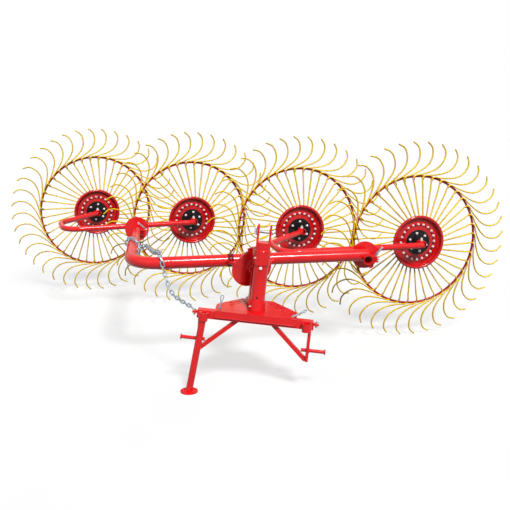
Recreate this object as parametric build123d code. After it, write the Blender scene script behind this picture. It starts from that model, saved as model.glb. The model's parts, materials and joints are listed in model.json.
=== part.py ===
from build123d import *
import math
import os

# A mounted rake with four star wheels, parked on its stand leg and its wheels. All sizes are in
# millimetres. +X runs along the hitch to the right, +Y to the rear and +Z up from the ground.

# Star wheels
TINE_COUNT = 40
TINE_WIRE = 7.0
RIM_RADIUS = 469.0
RIM_BAR = 14.0
SEAT = 0.3

# Rockers, about their pivot: x along the front run, y along the axles
ROCKER_OUTER = 42.4
ROCKER_WALL = 4.0
ROCKER_BACK = 120.0
ROCKER_BEARING = 84.0
NEAR_WHEEL = (497.3, 290.4)
FAR_WHEEL = (-200.7, 924.6)
ROCKER_CORNER = (-548.0, 430.0)
ROCKER_BENDS = (55.0, 130.0, 150.0, 60.0)
WHEEL_TOE = 12.2

# Boom: u along its front run and v to the rear, about the mast
BOOM_YAW = 12.9
BOOM_OUTER = 80.0
BOOM_WALL = 5.0
BOOM_BACK = 383.0
BOOM_BEND = 190.0
BOOM_LEG_END = 1090.0

# Pivots of the rockers: their place on the boom and their turn about the upright
LEFT_U = -694.0
LEFT_V = 1560.0
LEFT_TURN = -4.2
RIGHT_U = 803.0
RIGHT_V = 444.0
RIGHT_TURN = -8.5
RIGHT_DROP = 14.0
PIVOT_OUTER = 66.0
PIVOT_WALL = 6.0
PIVOT_NOSE = 160.0
DISC_RADIUS = 92.5
DISC_THICK = 8.0

# Rock pivot between swivel and boom
FRAME_LEAN = 5.8
FLANGE_RADIUS = 105.0
ROCK_PIN = 50.0
RUNNING_GAP = 0.05

# Index plate and cross beam, with z down from the top of the plate
PLATE_DROP = 235.0
PLATE_THICK = 8.0
FLANGE_DEPTH = 42.0
BEAM_HALF = 348.0
BEAM_FRONT = -90.0
BEAM_DEEP = 60.0
BEAM_HIGH = 50.0
BEAM_WALL = 5.0
PLATE_HALF = BEAM_HALF - 98.0
PLATE_SIDE_BACK = 60.0
PLATE_SHOULDER = (PLATE_HALF - 45.0, 125.0)
PLATE_TAIL = (100.0, 260.0)
LUG_LENGTH = 38.0
LUG_HOLE = 12.0

# Mast, with heights up from the top of the plate
TOP_PIN_HEIGHT = 496.0
TOP_PIN_DIAMETER = 19.0
HEAD_TOP = TOP_PIN_HEIGHT - 63.0
EAR_FOOT = HEAD_TOP - 30.0
EAR_TOP = TOP_PIN_HEIGHT + 44.0
EAR_MIDDLE = 37.0
EAR_THICK = 12.0
COLUMN_TOP = HEAD_TOP - 50.0
COLUMN_OUTER = 88.9
COLUMN_WALL = 6.0
KNUCKLE_OUTER = 101.6
KNUCKLE_TOP = COLUMN_TOP - 2.0
KNUCKLE_BOTTOM = KNUCKLE_TOP - 85.0
COLLAR_OUTER = 105.0
COLLAR_HEIGHT = 65.0

# Lower hitch points
PIN_SPAN = BEAM_HALF + 1.0
PIN_DROP = 197.0
PIN_LENGTH = 97.0
PIN_DIAMETER = 22.0
BAR_BOTTOM = 264.0

# Stand
LEG_OUTER = 42.4
LEG_WALL = 4.0
LEG_SPLAY = 5.5
LEG_SIDE = BEAM_HALF - 39.0
LEG_Y = -119.0
LEG_TOP = -12.0
FOOT_RADIUS = 54.0
FOOT_THICK = 8.0
CLAMP_OUTER = 58.0
CLAMP_LENGTH = 50.0


def rod(start, end, outer, inner=0.0):
    """A round bar or tube between two points."""
    first = Vector(*start)
    along = Vector(*end) - first
    section = Circle(outer / 2)
    if inner:
        section -= Circle(inner / 2)
    return extrude(Plane(origin=first, z_dir=along) * section, along.length)


def block(x_range, y_range, z_range):
    """A box between two x, two y and two z values."""
    size = [high - low for low, high in (x_range, y_range, z_range)]
    middle = [(high + low) / 2 for low, high in (x_range, y_range, z_range)]
    return Pos(*middle) * Box(*size)


def bent_tube(points, radii, outer, wall):
    """A tube along straight runs joined by tangent arcs."""
    path = FilletPolyline(*points, radius=radii)
    section = Circle(outer / 2) - Circle(outer / 2 - wall)
    return sweep(Plane(origin=path @ 0, z_dir=path % 0) * section, path=path)


def ribbon(points, width):
    """A strip of one width along a line of straight runs, as a flat face."""
    left, right = [], []
    for index, point in enumerate(points):
        before = Vector(*points[max(index - 1, 0)])
        here = Vector(*point)
        after = Vector(*points[min(index + 1, len(points) - 1)])
        arriving = (here - before).normalized() if index else (after - here).normalized()
        leaving = (after - here).normalized() if index < len(points) - 1 else arriving
        middle = (arriving + leaving).normalized()
        reach = width / 2 / max(middle.dot(arriving), 0.5)
        side = Vector(-middle.Y, middle.X) * reach
        left.append(tuple(here + side)[:2])
        right.append(tuple(here - side)[:2])
    return Polygon(*left, *reversed(right), align=None)


def spot(frame, x, y, z):
    """A point of a frame, in the frame around it."""
    return (frame * Pos(x, y, z)).position


# Wheel parts, about the hub with the axle along y and the rim in the plane y = 0
TINE_START = 127.0
TINE_START_SIDE = 30.0
TINE_START_BACK = -45.0
TINE_REST_RADIUS = RIM_RADIUS + RIM_BAR / 2
TINE_RIM_BACK = -(RIM_BAR + TINE_WIRE) / 2 - 2 * SEAT
# Points of a tine from the rim to its tip: sideways reach, and height over the rim
TINE_CURL = ((0.0, 0.0), (104.0, 15.0), (200.0, 35.0), (250.0, 83.0), (268.0, 135.0), (242.0, 209.0))
DISH_RADIUS = 195.0
DISH_SHEET = 3.0
DISH_BACK = TINE_START_BACK - TINE_WIRE / 2 - SEAT
DISH_LIP = 24.0
DISH_FLAT = DISH_RADIUS - 45.0
CAP_RADIUS = 89.0
CAP_THICK = 10.0
CAP_BACK = DISH_BACK - DISH_SHEET
HOUSING_RADIUS = 32.0
HOUSING_FRONT = -80.0
HOUSING_BACK = 15.0
AXLE_DIAMETER = 25.0
AXLE_SHOULDER = -95.0
NUT_RADIUS = 20.0
NUT_LENGTH = 10.0
END_GAP = 2.0


def wheel_rim():
    """The ring that the tines lean on."""
    ring = Circle(RIM_RADIUS + RIM_BAR / 2) - Circle(RIM_RADIUS - RIM_BAR / 2)
    return extrude(Plane.XZ.offset(-RIM_BAR / 2) * ring, RIM_BAR)


def wheel_tines():
    """Forty spring tines, each from the hub over the rim to its curled tip."""
    slope = (TINE_RIM_BACK - TINE_START_BACK) / (TINE_REST_RADIUS - TINE_START)
    tilt = math.degrees(math.atan(slope))
    line = [(TINE_START_SIDE, TINE_START)] + [(side, RIM_RADIUS + rise) for side, rise in TINE_CURL]
    plane = Plane(origin=(0, 0, 0), x_dir=(1, 0, 0), z_dir=(0, -1, 0))
    flat = extrude(plane * ribbon(line, TINE_WIRE), TINE_WIRE / 2, both=True)
    hub_edge = Pos(0, 0, TINE_START)
    leaned = hub_edge * Rot(-tilt, 0, 0) * hub_edge.inverse() * flat
    tine = Pos(0, TINE_START_BACK, 0) * leaned
    turn = 360 / TINE_COUNT
    return [Rot(0, turn * (index + 0.5), 0) * tine for index in range(TINE_COUNT)]


def wheel_dish():
    """The pressed dish that clamps the tines, with its raised outer lip."""
    front = DISH_BACK - DISH_SHEET
    profile = Polyline(
        (HOUSING_RADIUS + SEAT, DISH_BACK),
        (DISH_FLAT, DISH_BACK),
        (DISH_RADIUS, DISH_BACK - DISH_LIP),
        (DISH_RADIUS, front - DISH_LIP),
        (DISH_FLAT, front),
        (HOUSING_RADIUS + SEAT, front),
        close=True,
    )
    return revolve(Plane.XY * make_face(profile), Axis.Y)


def wheel_hub():
    """The hub housing with the round plate that bolts it to the dish."""
    plate = rod((0, CAP_BACK - CAP_THICK, 0), (0, CAP_BACK, 0), 2 * CAP_RADIUS)
    housing = rod((0, HOUSING_FRONT, 0), (0, HOUSING_BACK, 0), 2 * HOUSING_RADIUS)
    bore = rod((0, HOUSING_FRONT, 0), (0, HOUSING_BACK, 0), AXLE_DIAMETER + 2 * RUNNING_GAP)
    return plate + housing - bore


def wheel_axle():
    """The stub axle with its shoulder and the nut behind the hub."""
    nut_front = HOUSING_BACK + END_GAP
    shoulder = rod((0, AXLE_SHOULDER, 0), (0, HOUSING_FRONT - END_GAP, 0), ROCKER_OUTER)
    shaft = rod((0, AXLE_SHOULDER, 0), (0, nut_front + NUT_LENGTH, 0), AXLE_DIAMETER)
    nut = rod((0, nut_front, 0), (0, nut_front + NUT_LENGTH, 0), 2 * NUT_RADIUS)
    return shoulder + shaft + nut


# Boom parts, about the point where the swivel axis meets the rock axis
LEFT_PIVOT = Pos(LEFT_U, LEFT_V, 0) * Rot(0, 0, LEFT_TURN)
RIGHT_PIVOT = Pos(RIGHT_U, RIGHT_V, -RIGHT_DROP) * Rot(0, 0, RIGHT_TURN)
CORNER_U = LEFT_U + (LEFT_V - BOOM_BACK) * math.tan(math.radians(LEFT_TURN))
RIGHT_END_U = RIGHT_U + (RIGHT_V - BOOM_BACK) * math.tan(math.radians(RIGHT_TURN)) + 4.0
LEG_END_Y = (BOOM_LEG_END - LEFT_V) / math.cos(math.radians(LEFT_TURN))
TOE_COSINE = math.cos(math.radians(WHEEL_TOE))
TOE_TANGENT = math.tan(math.radians(WHEEL_TOE))
BEARING_FRONT = 10.0
BEARING_BACK = ROCKER_BACK / TOE_COSINE
TUBE_FRONT = (ROCKER_BACK - ROCKER_OUTER / 2) / TOE_COSINE
PIVOT_REACH = TUBE_FRONT - PIVOT_OUTER / 2 * TOE_TANGENT - 6.0
REDUCER_LENGTH = 30.0
FLANGE_THICK = 10.0
SWIVEL_FLANGE_FRONT = 188.0
BOOM_FLANGE_FRONT = 206.0
ROCK_SLEEVE = 90.0
STOP_HALF_ANGLE = 7.5
STOP_RADIUS = FLANGE_RADIUS + 20.0
STOP_GAP_ANGLE = 0.2
STOP_CLEAR = 3.0
GUSSET_THICK = 10.0
GUSSET_TOP = 100.0
GUSSET_FOOT = 160.0
BOOM_FRONT_RUN = rod((CORNER_U / 2, BOOM_BACK, 0), (RIGHT_END_U / 2, BOOM_BACK, 0), BOOM_OUTER)


def boom_tube():
    """The long front tube with its bend, the leg to the left pivot and its capped right end."""
    end = spot(LEFT_PIVOT, 0, LEG_END_Y, 0)
    points = ((RIGHT_END_U, BOOM_BACK, 0), (CORNER_U, BOOM_BACK, 0), (end.X, end.Y, 0))
    tube = bent_tube(points, BOOM_BEND, BOOM_OUTER, BOOM_WALL)
    tube += rod((RIGHT_END_U - BOOM_WALL, BOOM_BACK, 0), (RIGHT_END_U, BOOM_BACK, 0), BOOM_OUTER)
    return tube - RIGHT_PIVOT * rod((0, -PIVOT_NOSE, 0), (0, PIVOT_REACH, 0), PIVOT_OUTER)


def pivot_tubes():
    """The two thinner tubes that the rockers turn on."""
    inner = PIVOT_OUTER - 2 * PIVOT_WALL
    right = rod((0, -PIVOT_NOSE, 0), (0, PIVOT_REACH, 0), PIVOT_OUTER, inner)
    start = LEG_END_Y - REDUCER_LENGTH
    left = rod((0, start, 0), (0, PIVOT_REACH, 0), PIVOT_OUTER, inner)
    left += rod((0, start, 0), (0, LEG_END_Y, 0), BOOM_OUTER - 2 * BOOM_WALL, inner)
    return [LEFT_PIVOT * left, RIGHT_PIVOT * right]


def pivot_discs():
    """The round plates in front of the rockers."""
    disc = rod((0, -DISC_THICK / 2, 0), (0, DISC_THICK / 2, 0), 2 * DISC_RADIUS, PIVOT_OUTER)
    return [LEFT_PIVOT * disc, RIGHT_PIVOT * disc]


def wedge(inner, outer, y_range):
    """A block with radial sides over the rock pin."""
    half = math.radians(STOP_HALF_ANGLE)
    corners = []
    for radius, side in ((inner, -1), (outer, -1), (outer, 1), (inner, 1)):
        corners.append((side * radius * math.sin(half), radius * math.cos(half)))
    plane = Plane(origin=(0, sum(y_range) / 2, 0), x_dir=(1, 0, 0), z_dir=(0, -1, 0))
    return extrude(plane * Polygon(*corners, align=None), (y_range[1] - y_range[0]) / 2, both=True)


def rock_bearing():
    """The sleeve and flange that hang the boom on the rock pin, with the stop lug on top."""
    back = BOOM_FLANGE_FRONT + FLANGE_THICK
    flange = rod((0, BOOM_FLANGE_FRONT, 0), (0, back, 0), 2 * FLANGE_RADIUS)
    sleeve = rod((0, back, 0), (0, BOOM_BACK, 0), ROCK_SLEEVE)
    lug = wedge(FLANGE_RADIUS + STOP_CLEAR, STOP_RADIUS, (SWIVEL_FLANGE_FRONT, back))
    root = wedge(FLANGE_RADIUS - 10.0, STOP_RADIUS, (BOOM_FLANGE_FRONT, back))
    whole = flange + sleeve + lug + root
    pin = rod((0, BOOM_FLANGE_FRONT, 0), (0, BOOM_BACK, 0), ROCK_PIN + 2 * RUNNING_GAP)
    return whole - pin - BOOM_FRONT_RUN


def boom_gussets():
    """Flat plates between the flange and the boom, one on each side."""
    front, back = BOOM_FLANGE_FRONT + FLANGE_THICK, BOOM_BACK - BOOM_OUTER / 4
    inner = ROCK_SLEEVE / 2 + 1.0
    plates = []
    for side in (-1, 1):
        corners = ((inner, front), (GUSSET_TOP, front), (GUSSET_FOOT, back), (inner, back))
        outline = Polyline(*((side * u, v) for u, v in corners), close=True)
        plates.append(extrude(make_face(outline), GUSSET_THICK / 2, both=True) - BOOM_FRONT_RUN)
    return plates


# Rocker parts, about the rocker's pivot
def rocker_tube():
    """One bent tube that carries two wheels."""
    near_end, far_end = NEAR_WHEEL[1] + AXLE_SHOULDER, FAR_WHEEL[1] + AXLE_SHOULDER
    points = (
        (NEAR_WHEEL[0], near_end, 0),
        (NEAR_WHEEL[0], ROCKER_BACK, 0),
        (ROCKER_CORNER[0], ROCKER_BACK, 0),
        (*ROCKER_CORNER, 0),
        (FAR_WHEEL[0], far_end - ROCKER_BENDS[-1] / 2, 0),
        (FAR_WHEEL[0], far_end, 0),
    )
    return bent_tube(points, ROCKER_BENDS, ROCKER_OUTER, ROCKER_WALL)


def rocker_bearing(rise):
    """The sleeve that turns on the pivot tube, seated on a rocker tube that lies higher by the rise."""
    bore = PIVOT_OUTER + 2 * RUNNING_GAP
    sleeve = rod((0, BEARING_FRONT, 0), (0, BEARING_BACK, 0), ROCKER_BEARING, bore)
    run = rod((-ROCKER_BEARING, ROCKER_BACK, 0), (ROCKER_BEARING, ROCKER_BACK, 0), ROCKER_OUTER)
    return sleeve - Pos(0, 0, rise) * Rot(0, 0, WHEEL_TOE) * run


# Swivel parts, about the same point, with z along the mast
PLATE_TOP = -PLATE_DROP
POST_FRONT = 58.0
POST_BACK = 98.0
POST_HALF = 40.0
POST_WALL = 5.0
BRIDGE_HALF = 30.0
BRIDGE_FRONT = 20.0
ARM_TOP = PLATE_TOP + 24.0
ARM_THICK = 10.0
ARM_HALF = 30.0
LOCK_RADIUS = 207.0
LOCK_PIN = 16.0
LOCK_HEAD = 14.0
LOBE_RADIUS = 98.0
LOBE_CENTRE = (-45.0, -32.0)


def swivel_sleeves():
    """The two knuckles that turn on the column."""
    bore = COLUMN_OUTER + 2 * RUNNING_GAP
    knuckles = []
    spans = ((1.0, COLLAR_HEIGHT, COLLAR_OUTER), (KNUCKLE_BOTTOM, KNUCKLE_TOP, KNUCKLE_OUTER))
    for low, high, outer in spans:
        low, high = low - PLATE_DROP, high - PLATE_DROP
        bridge = block((-BRIDGE_HALF, BRIDGE_HALF), (BRIDGE_FRONT, POST_FRONT), (low, high))
        ring = rod((0, 0, low), (0, 0, high), outer) + bridge
        knuckles.append(ring - rod((0, 0, low), (0, 0, high), bore))
    return knuckles


def swivel_post():
    """The upright behind the column, with the flat arm to the index holes."""
    low, high = PLATE_TOP + 12.0, KNUCKLE_TOP - PLATE_DROP
    post = block((-POST_HALF, POST_HALF), (POST_FRONT, POST_BACK), (low, high))
    inner = POST_HALF - POST_WALL
    post -= block((-inner, inner), (POST_FRONT + POST_WALL, POST_BACK - POST_WALL), (low, high))
    arm_low = ARM_TOP - ARM_THICK
    arm = block((-ARM_HALF, ARM_HALF), (POST_BACK, LOCK_RADIUS + 25.0), (arm_low, ARM_TOP))
    arm -= rod((0, LOCK_RADIUS, arm_low), (0, LOCK_RADIUS, ARM_TOP), LOCK_PIN + 1.0)
    return post + arm


def rock_pin():
    """The fixed flange and the pin that the boom rocks on, with the two stop blocks."""
    back = SWIVEL_FLANGE_FRONT + FLANGE_THICK
    stub = rod((0, POST_BACK, 0), (0, SWIVEL_FLANGE_FRONT, 0), ROCK_SLEEVE)
    flange = rod((0, SWIVEL_FLANGE_FRONT, 0), (0, back, 0), 2 * FLANGE_RADIUS)
    x, z = LOBE_CENTRE
    flange += rod((x, SWIVEL_FLANGE_FRONT, z), (x, back, z), 2 * LOBE_RADIUS)
    pin = rod((0, back, 0), (0, BOOM_BACK - BOOM_OUTER / 2 - END_GAP, 0), ROCK_PIN)
    whole = stub + flange + pin
    offset = FRAME_LEAN + 2 * STOP_HALF_ANGLE + STOP_GAP_ANGLE
    for side in (-1, 1):
        stop = wedge(FLANGE_RADIUS - 10.0, STOP_RADIUS, (SWIVEL_FLANGE_FRONT, back))
        whole += Rot(0, side * offset, 0) * stop
    return whole


def lock_pin():
    """The pin in the arm, drawn up out of its index hole."""
    top = ARM_TOP + LOCK_HEAD
    shank = rod((0, LOCK_RADIUS, PLATE_TOP + END_GAP), (0, LOCK_RADIUS, top), LOCK_PIN)
    return shank + rod((0, LOCK_RADIUS, ARM_TOP + SEAT), (0, LOCK_RADIUS, top), LOCK_PIN + 12.0)


# Hitch parts, about the point where the mast axis meets the top of the plate
INDEX_ROWS = ((LOCK_RADIUS, (BOOM_YAW, 24.0, 35.0, 44.0, 53.0)), (177.0, (43.0, 57.0, 65.0)))
INDEX_HOLE = 18.0
BEAM_BACK = BEAM_FRONT + BEAM_DEEP
BEAM_TOP = -PLATE_THICK
BEAM_BOTTOM = BEAM_TOP - BEAM_HIGH
BAR_THICK = 18.0
BAR_FRONT = BEAM_FRONT + 5.0
BAR_BACK = BEAM_BACK - 5.0
BAR_FACE = PIN_SPAN - 4.0
BAR_INNER = BAR_FACE - BAR_THICK
PIN_Y = (BEAM_FRONT + BEAM_BACK) / 2
PIN_STUB = 31.0
PIN_SHOULDER = 34.0
PIN_MIDDLE = 40.0
LINCH_HOLE = 10.0
LINCH_INSET = 12.0
BRACE_WIDTH = 25.0
BRACE_INNER = 19.0
BRACE_TOP = 115.0
BOLT_HEIGHT = KNUCKLE_BOTTOM - 17.0
BOLT_DIAMETER = 14.0
BOLT_HEAD = 24.0
BOLT_REACH = 54.0
EAR_FOOT_HALF = 30.0
EAR_TIP_HALF = 17.0
TOP_PIN_HEAD = 30.0
CLAMP_TOP = LEG_TOP
CLAMP_BOTTOM = CLAMP_TOP - CLAMP_LENGTH
CLAMP_MIDDLE = CLAMP_TOP - CLAMP_LENGTH / 2
CAP_SHEET = 5.0
LUG_DEEP = (-80.0, -48.0)
LUG_HIGH = (-32.0, -20.0)


def index_plate():
    """The top plate with its front flange and two rows of index holes on each side."""
    right = ((PLATE_HALF, BEAM_FRONT), (PLATE_HALF, PLATE_SIDE_BACK), PLATE_SHOULDER, PLATE_TAIL)
    left = [(-x, y) for x, y in reversed(right)]
    plate = extrude(make_face(Polyline(*right, *left, close=True)), -PLATE_THICK)
    front = (BEAM_FRONT - PLATE_THICK, BEAM_FRONT)
    lip = block((-PLATE_HALF, PLATE_HALF), front, (-FLANGE_DEPTH, 0))
    plate += lip
    for radius, angles in INDEX_ROWS:
        for angle in angles:
            for side in (-1, 1):
                x = side * radius * math.sin(math.radians(angle))
                y = radius * math.cos(math.radians(angle))
                plate -= rod((x, y, -PLATE_THICK), (x, y, 0), INDEX_HOLE)
    return plate


def cross_beam():
    """The box tube under the plate."""
    outer = block((-BEAM_HALF, BEAM_HALF), (BEAM_FRONT, BEAM_BACK), (BEAM_BOTTOM, BEAM_TOP))
    depth = (BEAM_FRONT + BEAM_WALL, BEAM_BACK - BEAM_WALL)
    inner = block((-BEAM_HALF, BEAM_HALF), depth, (BEAM_BOTTOM + BEAM_WALL, BEAM_TOP - BEAM_WALL))
    return outer - inner


def mast_column():
    """The fixed column that the swivel turns on."""
    inner = COLUMN_OUTER - 2 * COLUMN_WALL
    hole = BOLT_DIAMETER + 2 * SEAT
    bolt_hole = rod((0, -COLUMN_OUTER, BOLT_HEIGHT), (0, COLUMN_OUTER, BOLT_HEIGHT), hole)
    return rod((0, 0, 0), (0, 0, COLUMN_TOP), COLUMN_OUTER, inner) - bolt_hole


def mast_head():
    """The head with the two tapered ears for the top link."""
    head = rod((0, 0, COLUMN_TOP), (0, 0, HEAD_TOP), COLUMN_OUTER)
    foot, tip = EAR_FOOT_HALF, EAR_TIP_HALF
    outline = Polyline((-foot, EAR_FOOT), (foot, EAR_FOOT), (tip, EAR_TOP), (-tip, EAR_TOP), close=True)
    for side in (-1, 1):
        plane = Plane(origin=(side * EAR_MIDDLE, 0, 0), x_dir=(0, 1, 0), z_dir=(1, 0, 0))
        head += extrude(plane * make_face(outline), EAR_THICK / 2, both=True)
    reach = EAR_MIDDLE + EAR_THICK
    hole = TOP_PIN_DIAMETER + 2 * SEAT
    return head - rod((-reach, 0, TOP_PIN_HEIGHT), (reach, 0, TOP_PIN_HEIGHT), hole)


def top_link_pin():
    """The pin across the ears, with its head on the right."""
    face = EAR_MIDDLE + EAR_THICK / 2
    pin = rod((-face - 17.0, 0, TOP_PIN_HEIGHT), (face + 7.0, 0, TOP_PIN_HEIGHT), TOP_PIN_DIAMETER)
    return pin + rod((face + SEAT, 0, TOP_PIN_HEIGHT), (face + 11.0, 0, TOP_PIN_HEIGHT), TOP_PIN_HEAD)


def column_bolt():
    """The bolt that holds the upper knuckle up."""
    front = -COLUMN_OUTER / 2 - SEAT
    shank = rod((0, -BOLT_REACH + 2.0, BOLT_HEIGHT), (0, BOLT_REACH - 2.0, BOLT_HEIGHT), BOLT_DIAMETER)
    return shank + rod((0, -BOLT_REACH, BOLT_HEIGHT), (0, front, BOLT_HEIGHT), BOLT_HEAD)


def lower_bars():
    """The upright bars under the beam's ends that hold the lower hitch pins."""
    bars = []
    for side in (-1, 1):
        low, high = sorted((side * BAR_FACE, side * BAR_INNER))
        bar = block((low, high), (BAR_FRONT, BAR_BACK), (-BAR_BOTTOM, BEAM_BOTTOM))
        bars.append(bar - rod((low, PIN_Y, -PIN_DROP), (high, PIN_Y, -PIN_DROP), PIN_DIAMETER + 2 * SEAT))
    return bars


def lower_pins():
    """The lower hitch pins, each with a shoulder and a cross hole for its linch pin."""
    pins = []
    for side in (-1, 1):
        start, end = side * (BAR_INNER - PIN_STUB), side * (PIN_SPAN + PIN_LENGTH)
        pin = rod((start, PIN_Y, -PIN_DROP), (end, PIN_Y, -PIN_DROP), PIN_DIAMETER)
        pin = chamfer(pin.faces().sort_by(Axis.X)[0 if side < 0 else -1].edges(), END_GAP)
        shoulder = (side * (BAR_FACE + SEAT), side * PIN_SPAN)
        pin += rod((shoulder[0], PIN_Y, -PIN_DROP), (shoulder[1], PIN_Y, -PIN_DROP), PIN_SHOULDER)
        across = end - side * LINCH_INSET
        low, high = -PIN_DROP - PIN_DIAMETER, -PIN_DROP + PIN_DIAMETER
        pins.append(pin - rod((across, PIN_Y, low), (across, PIN_Y, high), LINCH_HOLE))
    return pins


def braces():
    """The square braces from the flange down to the foot of each bar."""
    pieces = []
    section = Rectangle(BRACE_WIDTH, BRACE_WIDTH) - Rectangle(BRACE_INNER, BRACE_INNER)
    keep = block((-BAR_INNER, BAR_INNER), (BEAM_FRONT, BEAM_BACK), (-BAR_BOTTOM, BEAM_BOTTOM))
    for side in (-1, 1):
        top = Vector(side * BRACE_TOP, PIN_Y, BEAM_BOTTOM - 2.0)
        foot = Vector(side * (BAR_INNER - 6.0), PIN_Y, -BAR_BOTTOM + 12.0)
        along = foot - top
        plane = Plane(origin=top - along * 0.2, x_dir=(0, 1, 0), z_dir=along)
        brace = extrude(plane * section, along.length * 1.4) & keep
        start, end = side * BRACE_TOP, side * PIN_SPAN
        pin = rod((start, PIN_Y, -PIN_DROP), (end, PIN_Y, -PIN_DROP), PIN_DIAMETER + 2 * SEAT)
        pieces.append(brace - pin)
    return pieces


def clamp_frame(side):
    """The frame of a stand sleeve, with z along the leg."""
    return Pos(side * LEG_SIDE, LEG_Y, 0) * Rot(0, -side * LEG_SPLAY, 0)


def stand_sleeves():
    """The short sleeves in front of both beam ends. The leg sits in the left one."""
    sleeves = []
    for side in (-1, 1):
        tube = rod((0, 0, CLAMP_BOTTOM), (0, 0, CLAMP_TOP), CLAMP_OUTER)
        lug = block((-CLAMP_OUTER / 2, CLAMP_OUTER / 2), (0, BEAM_FRONT - LEG_Y), (-48.0, -14.0))
        whole = clamp_frame(side) * tube + Pos(side * LEG_SIDE, LEG_Y, 0) * lug
        bore = rod((0, 0, CLAMP_BOTTOM - LEG_OUTER), (0, 0, CLAMP_TOP + LEG_OUTER), LEG_OUTER + 2 * SEAT)
        sleeves.append(whole - clamp_frame(side) * bore)
    return sleeves


def end_lugs():
    """The caps of both beam ends, each with a small lug."""
    lugs = []
    middle = sum(LUG_DEEP) / 2
    for side in (-1, 1):
        face = side * BEAM_HALF
        across = face + side * (LUG_LENGTH - LUG_HOLE)
        cap = block(sorted((face, face + side * CAP_SHEET)), (BEAM_FRONT, BEAM_BACK), (BEAM_BOTTOM, BEAM_TOP))
        lug = block(sorted((face, face + side * LUG_LENGTH)), LUG_DEEP, LUG_HIGH)
        lugs.append(cap + lug - rod((across, middle, LUG_HIGH[0]), (across, middle, LUG_HIGH[1]), LUG_HOLE))
    return lugs


rim, dish, hub, axle = wheel_rim(), wheel_dish(), wheel_hub(), wheel_axle()
tines = wheel_tines()
axle_height = -min(tine.bounding_box().min.Z for tine in tines)
assembly = Pos(0, 0, axle_height) * Rot(0, 0, BOOM_YAW)
swivel = assembly * Rot(0, FRAME_LEAN, 0)
hitch = swivel * Rot(0, 0, -BOOM_YAW) * Pos(0, 0, -PLATE_DROP)


def stand_leg():
    """The round leg in the left sleeve with its level foot plate on the ground."""
    leg_frame = hitch * clamp_frame(-1)
    top = spot(leg_frame, 0, 0, LEG_TOP)
    axis = (leg_frame.position - top).normalized()
    foot = top - axis * ((top.Z - FOOT_THICK) / axis.Z)
    low = foot - axis * 30
    leg = rod(tuple(low), tuple(top), LEG_OUTER, LEG_OUTER - 2 * LEG_WALL)
    leg &= Pos(foot.X, foot.Y, FOOT_THICK + 1500) * Box(1200, 1200, 3000)
    disc = rod((foot.X, foot.Y, 0), (foot.X, foot.Y, FOOT_THICK), 2 * FOOT_RADIUS)
    return leg + disc, axis, foot


leg, leg_axis, foot_centre = stand_leg()

nodes = {
    "index_plate": [hitch * index_plate()],
    "cross_beam": [hitch * cross_beam()],
    "mast_column": [hitch * mast_column()],
    "mast_head": [hitch * mast_head()],
    "top_link_pin": [hitch * top_link_pin()],
    "column_bolt": [hitch * column_bolt()],
    "lower_bars": [hitch * piece for piece in lower_bars()],
    "lower_pins": [hitch * piece for piece in lower_pins()],
    "lower_braces": [hitch * piece for piece in braces()],
    "stand_sleeves": [hitch * piece for piece in stand_sleeves()],
    "end_lugs": [hitch * piece for piece in end_lugs()],
    "stand_leg": [leg],
    "swivel_sleeves": [swivel * piece for piece in swivel_sleeves()],
    "swivel_post": [swivel * swivel_post()],
    "rock_pin": [swivel * rock_pin()],
    "lock_pin": [swivel * lock_pin()],
    "boom_tube": [assembly * boom_tube()],
    "pivot_tubes": [assembly * piece for piece in pivot_tubes()],
    "pivot_discs": [assembly * piece for piece in pivot_discs()],
    "rock_bearing": [assembly * rock_bearing()],
    "boom_gussets": [assembly * piece for piece in boom_gussets()],
}
places = {"rock": assembly.position, "foot": foot_centre, "leg_axis": leg_axis * 1000}
tube = rocker_tube()
number = 0
sides = (("left", LEFT_PIVOT, LEFT_U, LEFT_V, 0.0), ("right", RIGHT_PIVOT, RIGHT_U, RIGHT_V, RIGHT_DROP))
for name, pivot, u, v, rise in sides:
    turn = LEFT_TURN if name == "left" else RIGHT_TURN
    rocker = assembly * Pos(u, v, 0) * Rot(0, 0, turn + WHEEL_TOE)
    nodes["rocker_tube_" + name] = [rocker * tube]
    nodes["rocker_bearing_" + name] = [assembly * pivot * rocker_bearing(rise)]
    stations = [rocker * Pos(*wheel, 0) for wheel in (FAR_WHEEL, NEAR_WHEEL)]
    nodes["wheel_axles_" + name] = [station * axle for station in stations]
    places["pivot_" + name] = (assembly * pivot).position
    for station in stations:
        number += 1
        nodes[f"wheel_rim_{number}"] = [station * rim]
        nodes[f"wheel_dish_{number}"] = [station * dish]
        nodes[f"wheel_hub_{number}"] = [station * hub]
        nodes[f"wheel_tines_{number}"] = [station * tine for tine in tines]
        places[f"wheel_{number}"] = station.position
hitch_marks = {
    "pin_left": (-PIN_SPAN - PIN_MIDDLE, PIN_Y, -PIN_DROP),
    "pin_right": (PIN_SPAN + PIN_MIDDLE, PIN_Y, -PIN_DROP),
    "top_pin": (0, 0, TOP_PIN_HEIGHT),
    "mast_foot": (0, 0, 0),
}
places["right_sleeve"] = spot(hitch * clamp_frame(1), 0, 0, CLAMP_MIDDLE)
for name, point in hitch_marks.items():
    places[name] = spot(hitch, *point)

boxes = [piece.bounding_box() for pieces in nodes.values() for piece in pieces]
low = Vector(*(min(getattr(box.min, axis) for box in boxes) for axis in "XYZ"))
high = Vector(*(max(getattr(box.max, axis) for box in boxes) for axis in "XYZ"))
origin = Vector((low.X + high.X) / 2, (low.Y + high.Y) / 2, low.Z)
os.makedirs("parts", exist_ok=True)
for name, pieces in nodes.items():
    moved = [Pos(*(origin * -1)) * piece for piece in pieces]
    export_step(moved[0] if len(moved) == 1 else Compound(children=moved), "parts/" + name + ".step")
print("size", tuple(high - low))
for name, place in places.items():
    offset = Vector(0, 0, 0) if name == "leg_axis" else origin
    print("place", name, *(round(value / 1000, 6) for value in place - offset))
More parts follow.
